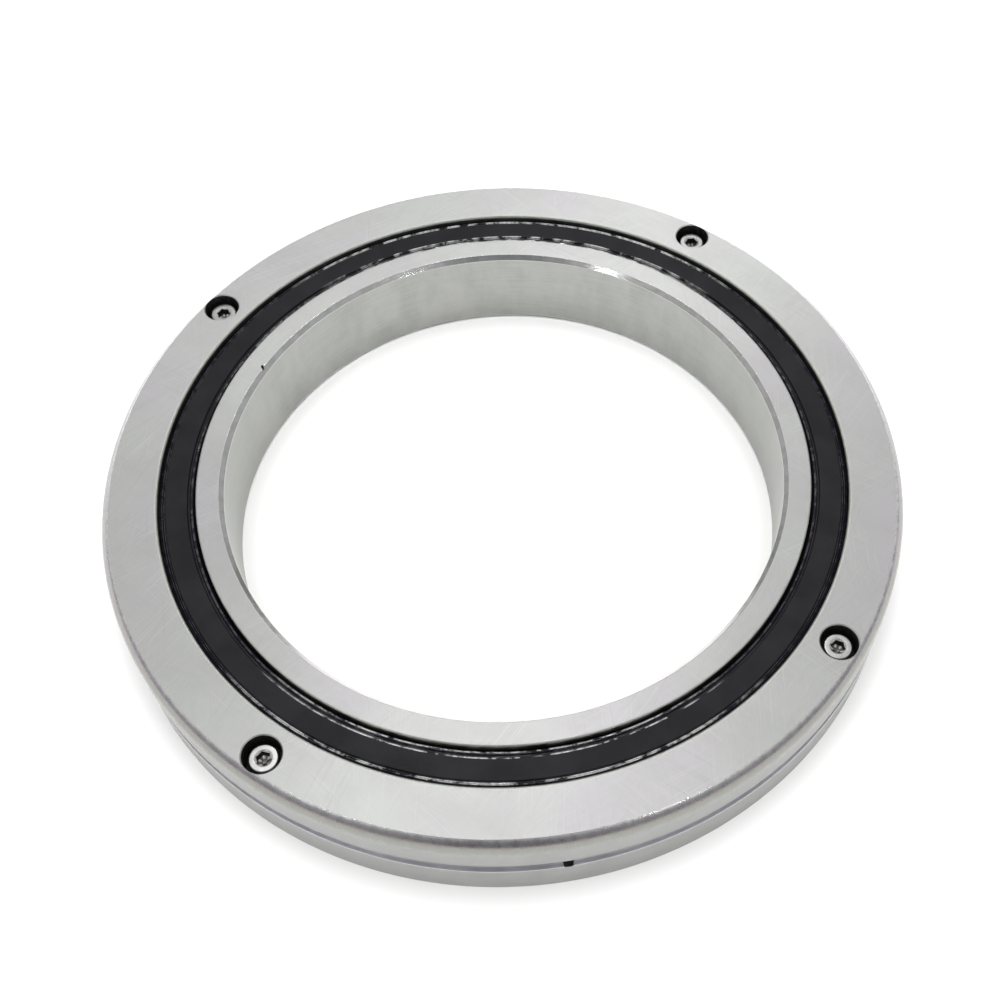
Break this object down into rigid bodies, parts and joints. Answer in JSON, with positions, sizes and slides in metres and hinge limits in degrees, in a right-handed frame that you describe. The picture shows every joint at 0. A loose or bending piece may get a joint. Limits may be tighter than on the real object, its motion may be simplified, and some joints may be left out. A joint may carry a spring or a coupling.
{
  "type": "crossed roller bearing",
  "caption": "Slim crossed roller bearing with a split outer ring, one-piece inner ring, cylindrical rollers crossed in a V raceway, and black lip seals.",
  "frame": {"origin": "on the bearing's axis, in the plane of its bottom face", "axes": "+Z along the bearing's axis, towards the face with the clamp screws; the clamp screws lie midway between the X and Y axes"},
  "size_m": [0.2, 0.2, 0.025],
  "materials": {
    "ring_steel": "fine ground bearing steel, satin, with hairline scratches",
    "roller_steel": "superfinished bearing steel, almost mirror bright",
    "screw_steel": "plain bright steel, lightly machined",
    "seal_rubber": "moulded nitrile rubber, satin, with a film of grease along both edges",
    "cage_polyamide": "natural glass-filled polyamide, matte"
  },
  "bodies": {
    "outer_ring": {"outer_ring_lower": "ring_steel", "outer_ring_upper": "ring_steel", "seal_lower": "seal_rubber", "seal_upper": "seal_rubber", "clamp_screw_1": "screw_steel", "clamp_screw_2": "screw_steel", "clamp_screw_3": "screw_steel", "clamp_screw_4": "screw_steel"},
    "inner_ring": {"inner_ring": "ring_steel"},
    "cage": {"roller_cage": "cage_polyamide"},
    "roller_01": {"roller_01": "roller_steel"},
    "roller_02": {"roller_02": "roller_steel"},
    "roller_03": {"roller_03": "roller_steel"},
    "roller_04": {"roller_04": "roller_steel"},
    "roller_05": {"roller_05": "roller_steel"},
    "roller_06": {"roller_06": "roller_steel"},
    "roller_07": {"roller_07": "roller_steel"},
    "roller_08": {"roller_08": "roller_steel"},
    "roller_09": {"roller_09": "roller_steel"},
    "roller_10": {"roller_10": "roller_steel"},
    "roller_11": {"roller_11": "roller_steel"},
    "roller_12": {"roller_12": "roller_steel"},
    "roller_13": {"roller_13": "roller_steel"},
    "roller_14": {"roller_14": "roller_steel"},
    "roller_15": {"roller_15": "roller_steel"},
    "roller_16": {"roller_16": "roller_steel"},
    "roller_17": {"roller_17": "roller_steel"},
    "roller_18": {"roller_18": "roller_steel"},
    "roller_19": {"roller_19": "roller_steel"},
    "roller_20": {"roller_20": "roller_steel"},
    "roller_21": {"roller_21": "roller_steel"},
    "roller_22": {"roller_22": "roller_steel"},
    "roller_23": {"roller_23": "roller_steel"},
    "roller_24": {"roller_24": "roller_steel"},
    "roller_25": {"roller_25": "roller_steel"},
    "roller_26": {"roller_26": "roller_steel"},
    "roller_27": {"roller_27": "roller_steel"},
    "roller_28": {"roller_28": "roller_steel"},
    "roller_29": {"roller_29": "roller_steel"},
    "roller_30": {"roller_30": "roller_steel"},
    "roller_31": {"roller_31": "roller_steel"},
    "roller_32": {"roller_32": "roller_steel"},
    "roller_33": {"roller_33": "roller_steel"},
    "roller_34": {"roller_34": "roller_steel"},
    "roller_35": {"roller_35": "roller_steel"},
    "roller_36": {"roller_36": "roller_steel"},
    "roller_37": {"roller_37": "roller_steel"},
    "roller_38": {"roller_38": "roller_steel"},
    "roller_39": {"roller_39": "roller_steel"},
    "roller_40": {"roller_40": "roller_steel"}
  },
  "joints": [
    {"name": "inner_ring_rotation", "type": "hinge", "parent": "outer_ring", "child": "inner_ring", "pos_m": [0, 0, 0.0125], "axis": [0, 0, 1], "continuous": true},
    {"name": "cage_rotation", "type": "hinge", "parent": "outer_ring", "child": "cage", "pos_m": [0, 0, 0.0125], "axis": [0, 0, 1], "continuous": true},
    {"name": "roller_01_spin", "type": "hinge", "parent": "cage", "child": "roller_01", "pos_m": [0.08374, 0.00659, 0.0125], "axis": [0.7049, 0.0555, 0.7071], "continuous": true},
    {"name": "roller_02_spin", "type": "hinge", "parent": "cage", "child": "roller_02", "pos_m": [0.08168, 0.01961, 0.0125], "axis": [0.6876, 0.1651, -0.7071], "continuous": true},
    {"name": "roller_03_spin", "type": "hinge", "parent": "cage", "child": "roller_03", "pos_m": [0.07761, 0.03215, 0.0125], "axis": [0.6533, 0.2706, 0.7071], "continuous": true},
    {"name": "roller_04_spin", "type": "hinge", "parent": "cage", "child": "roller_04", "pos_m": [0.07162, 0.04389, 0.0125], "axis": [0.6029, 0.3695, -0.7071], "continuous": true},
    {"name": "roller_05_spin", "type": "hinge", "parent": "cage", "child": "roller_05", "pos_m": [0.06387, 0.05455, 0.0125], "axis": [0.5377, 0.4592, 0.7071], "continuous": true},
    {"name": "roller_06_spin", "type": "hinge", "parent": "cage", "child": "roller_06", "pos_m": [0.05455, 0.06387, 0.0125], "axis": [0.4592, 0.5377, -0.7071], "continuous": true},
    {"name": "roller_07_spin", "type": "hinge", "parent": "cage", "child": "roller_07", "pos_m": [0.04389, 0.07162, 0.0125], "axis": [0.3695, 0.6029, 0.7071], "continuous": true},
    {"name": "roller_08_spin", "type": "hinge", "parent": "cage", "child": "roller_08", "pos_m": [0.03215, 0.07761, 0.0125], "axis": [0.2706, 0.6533, -0.7071], "continuous": true},
    {"name": "roller_09_spin", "type": "hinge", "parent": "cage", "child": "roller_09", "pos_m": [0.01961, 0.08168, 0.0125], "axis": [0.1651, 0.6876, 0.7071], "continuous": true},
    {"name": "roller_10_spin", "type": "hinge", "parent": "cage", "child": "roller_10", "pos_m": [0.00659, 0.08374, 0.0125], "axis": [0.0555, 0.7049, -0.7071], "continuous": true},
    {"name": "roller_11_spin", "type": "hinge", "parent": "cage", "child": "roller_11", "pos_m": [-0.00659, 0.08374, 0.0125], "axis": [-0.0555, 0.7049, 0.7071], "continuous": true},
    {"name": "roller_12_spin", "type": "hinge", "parent": "cage", "child": "roller_12", "pos_m": [-0.01961, 0.08168, 0.0125], "axis": [-0.1651, 0.6876, -0.7071], "continuous": true},
    {"name": "roller_13_spin", "type": "hinge", "parent": "cage", "child": "roller_13", "pos_m": [-0.03215, 0.07761, 0.0125], "axis": [-0.2706, 0.6533, 0.7071], "continuous": true},
    {"name": "roller_14_spin", "type": "hinge", "parent": "cage", "child": "roller_14", "pos_m": [-0.04389, 0.07162, 0.0125], "axis": [-0.3695, 0.6029, -0.7071], "continuous": true},
    {"name": "roller_15_spin", "type": "hinge", "parent": "cage", "child": "roller_15", "pos_m": [-0.05455, 0.06387, 0.0125], "axis": [-0.4592, 0.5377, 0.7071], "continuous": true},
    {"name": "roller_16_spin", "type": "hinge", "parent": "cage", "child": "roller_16", "pos_m": [-0.06387, 0.05455, 0.0125], "axis": [-0.5377, 0.4592, -0.7071], "continuous": true},
    {"name": "roller_17_spin", "type": "hinge", "parent": "cage", "child": "roller_17", "pos_m": [-0.07162, 0.04389, 0.0125], "axis": [-0.6029, 0.3695, 0.7071], "continuous": true},
    {"name": "roller_18_spin", "type": "hinge", "parent": "cage", "child": "roller_18", "pos_m": [-0.07761, 0.03215, 0.0125], "axis": [-0.6533, 0.2706, -0.7071], "continuous": true},
    {"name": "roller_19_spin", "type": "hinge", "parent": "cage", "child": "roller_19", "pos_m": [-0.08168, 0.01961, 0.0125], "axis": [-0.6876, 0.1651, 0.7071], "continuous": true},
    {"name": "roller_20_spin", "type": "hinge", "parent": "cage", "child": "roller_20", "pos_m": [-0.08374, 0.00659, 0.0125], "axis": [-0.7049, 0.0555, -0.7071], "continuous": true},
    {"name": "roller_21_spin", "type": "hinge", "parent": "cage", "child": "roller_21", "pos_m": [-0.08374, -0.00659, 0.0125], "axis": [-0.7049, -0.0555, 0.7071], "continuous": true},
    {"name": "roller_22_spin", "type": "hinge", "parent": "cage", "child": "roller_22", "pos_m": [-0.08168, -0.01961, 0.0125], "axis": [-0.6876, -0.1651, -0.7071], "continuous": true},
    {"name": "roller_23_spin", "type": "hinge", "parent": "cage", "child": "roller_23", "pos_m": [-0.07761, -0.03215, 0.0125], "axis": [-0.6533, -0.2706, 0.7071], "continuous": true},
    {"name": "roller_24_spin", "type": "hinge", "parent": "cage", "child": "roller_24", "pos_m": [-0.07162, -0.04389, 0.0125], "axis": [-0.6029, -0.3695, -0.7071], "continuous": true},
    {"name": "roller_25_spin", "type": "hinge", "parent": "cage", "child": "roller_25", "pos_m": [-0.06387, -0.05455, 0.0125], "axis": [-0.5377, -0.4592, 0.7071], "continuous": true},
    {"name": "roller_26_spin", "type": "hinge", "parent": "cage", "child": "roller_26", "pos_m": [-0.05455, -0.06387, 0.0125], "axis": [-0.4592, -0.5377, -0.7071], "continuous": true},
    {"name": "roller_27_spin", "type": "hinge", "parent": "cage", "child": "roller_27", "pos_m": [-0.04389, -0.07162, 0.0125], "axis": [-0.3695, -0.6029, 0.7071], "continuous": true},
    {"name": "roller_28_spin", "type": "hinge", "parent": "cage", "child": "roller_28", "pos_m": [-0.03215, -0.07761, 0.0125], "axis": [-0.2706, -0.6533, -0.7071], "continuous": true},
    {"name": "roller_29_spin", "type": "hinge", "parent": "cage", "child": "roller_29", "pos_m": [-0.01961, -0.08168, 0.0125], "axis": [-0.1651, -0.6876, 0.7071], "continuous": true},
    {"name": "roller_30_spin", "type": "hinge", "parent": "cage", "child": "roller_30", "pos_m": [-0.00659, -0.08374, 0.0125], "axis": [-0.0555, -0.7049, -0.7071], "continuous": true},
    {"name": "roller_31_spin", "type": "hinge", "parent": "cage", "child": "roller_31", "pos_m": [0.00659, -0.08374, 0.0125], "axis": [0.0555, -0.7049, 0.7071], "continuous": true},
    {"name": "roller_32_spin", "type": "hinge", "parent": "cage", "child": "roller_32", "pos_m": [0.01961, -0.08168, 0.0125], "axis": [0.1651, -0.6876, -0.7071], "continuous": true},
    {"name": "roller_33_spin", "type": "hinge", "parent": "cage", "child": "roller_33", "pos_m": [0.03215, -0.07761, 0.0125], "axis": [0.2706, -0.6533, 0.7071], "continuous": true},
    {"name": "roller_34_spin", "type": "hinge", "parent": "cage", "child": "roller_34", "pos_m": [0.04389, -0.07162, 0.0125], "axis": [0.3695, -0.6029, -0.7071], "continuous": true},
    {"name": "roller_35_spin", "type": "hinge", "parent": "cage", "child": "roller_35", "pos_m": [0.05455, -0.06387, 0.0125], "axis": [0.4592, -0.5377, 0.7071], "continuous": true},
    {"name": "roller_36_spin", "type": "hinge", "parent": "cage", "child": "roller_36", "pos_m": [0.06387, -0.05455, 0.0125], "axis": [0.5377, -0.4592, -0.7071], "continuous": true},
    {"name": "roller_37_spin", "type": "hinge", "parent": "cage", "child": "roller_37", "pos_m": [0.07162, -0.04389, 0.0125], "axis": [0.6029, -0.3695, 0.7071], "continuous": true},
    {"name": "roller_38_spin", "type": "hinge", "parent": "cage", "child": "roller_38", "pos_m": [0.07761, -0.03215, 0.0125], "axis": [0.6533, -0.2706, -0.7071], "continuous": true},
    {"name": "roller_39_spin", "type": "hinge", "parent": "cage", "child": "roller_39", "pos_m": [0.08168, -0.01961, 0.0125], "axis": [0.6876, -0.1651, 0.7071], "continuous": true},
    {"name": "roller_40_spin", "type": "hinge", "parent": "cage", "child": "roller_40", "pos_m": [0.08374, -0.00659, 0.0125], "axis": [0.7049, -0.0555, -0.7071], "continuous": true}
  ],
  "couplings": [
    {"joint": "cage_rotation", "follows": "inner_ring_rotation", "ratio": 0.48106},
    {"joint": "roller_01_spin", "follows": "inner_ring_rotation", "ratio": -9.3199},
    {"joint": "roller_02_spin", "follows": "inner_ring_rotation", "ratio": 9.3199},
    {"joint": "roller_03_spin", "follows": "inner_ring_rotation", "ratio": -9.3199},
    {"joint": "roller_04_spin", "follows": "inner_ring_rotation", "ratio": 9.3199},
    {"joint": "roller_05_spin", "follows": "inner_ring_rotation", "ratio": -9.3199},
    {"joint": "roller_06_spin", "follows": "inner_ring_rotation", "ratio": 9.3199},
    {"joint": "roller_07_spin", "follows": "inner_ring_rotation", "ratio": -9.3199},
    {"joint": "roller_08_spin", "follows": "inner_ring_rotation", "ratio": 9.3199},
    {"joint": "roller_09_spin", "follows": "inner_ring_rotation", "ratio": -9.3199},
    {"joint": "roller_10_spin", "follows": "inner_ring_rotation", "ratio": 9.3199},
    {"joint": "roller_11_spin", "follows": "inner_ring_rotation", "ratio": -9.3199},
    {"joint": "roller_12_spin", "follows": "inner_ring_rotation", "ratio": 9.3199},
    {"joint": "roller_13_spin", "follows": "inner_ring_rotation", "ratio": -9.3199},
    {"joint": "roller_14_spin", "follows": "inner_ring_rotation", "ratio": 9.3199},
    {"joint": "roller_15_spin", "follows": "inner_ring_rotation", "ratio": -9.3199},
    {"joint": "roller_16_spin", "follows": "inner_ring_rotation", "ratio": 9.3199},
    {"joint": "roller_17_spin", "follows": "inner_ring_rotation", "ratio": -9.3199},
    {"joint": "roller_18_spin", "follows": "inner_ring_rotation", "ratio": 9.3199},
    {"joint": "roller_19_spin", "follows": "inner_ring_rotation", "ratio": -9.3199},
    {"joint": "roller_20_spin", "follows": "inner_ring_rotation", "ratio": 9.3199},
    {"joint": "roller_21_spin", "follows": "inner_ring_rotation", "ratio": -9.3199},
    {"joint": "roller_22_spin", "follows": "inner_ring_rotation", "ratio": 9.3199},
    {"joint": "roller_23_spin", "follows": "inner_ring_rotation", "ratio": -9.3199},
    {"joint": "roller_24_spin", "follows": "inner_ring_rotation", "ratio": 9.3199},
    {"joint": "roller_25_spin", "follows": "inner_ring_rotation", "ratio": -9.3199},
    {"joint": "roller_26_spin", "follows": "inner_ring_rotation", "ratio": 9.3199},
    {"joint": "roller_27_spin", "follows": "inner_ring_rotation", "ratio": -9.3199},
    {"joint": "roller_28_spin", "follows": "inner_ring_rotation", "ratio": 9.3199},
    {"joint": "roller_29_spin", "follows": "inner_ring_rotation", "ratio": -9.3199},
    {"joint": "roller_30_spin", "follows": "inner_ring_rotation", "ratio": 9.3199},
    {"joint": "roller_31_spin", "follows": "inner_ring_rotation", "ratio": -9.3199},
    {"joint": "roller_32_spin", "follows": "inner_ring_rotation", "ratio": 9.3199},
    {"joint": "roller_33_spin", "follows": "inner_ring_rotation", "ratio": -9.3199},
    {"joint": "roller_34_spin", "follows": "inner_ring_rotation", "ratio": 9.3199},
    {"joint": "roller_35_spin", "follows": "inner_ring_rotation", "ratio": -9.3199},
    {"joint": "roller_36_spin", "follows": "inner_ring_rotation", "ratio": 9.3199},
    {"joint": "roller_37_spin", "follows": "inner_ring_rotation", "ratio": -9.3199},
    {"joint": "roller_38_spin", "follows": "inner_ring_rotation", "ratio": 9.3199},
    {"joint": "roller_39_spin", "follows": "inner_ring_rotation", "ratio": -9.3199},
    {"joint": "roller_40_spin", "follows": "inner_ring_rotation", "ratio": 9.3199}
  ]
}
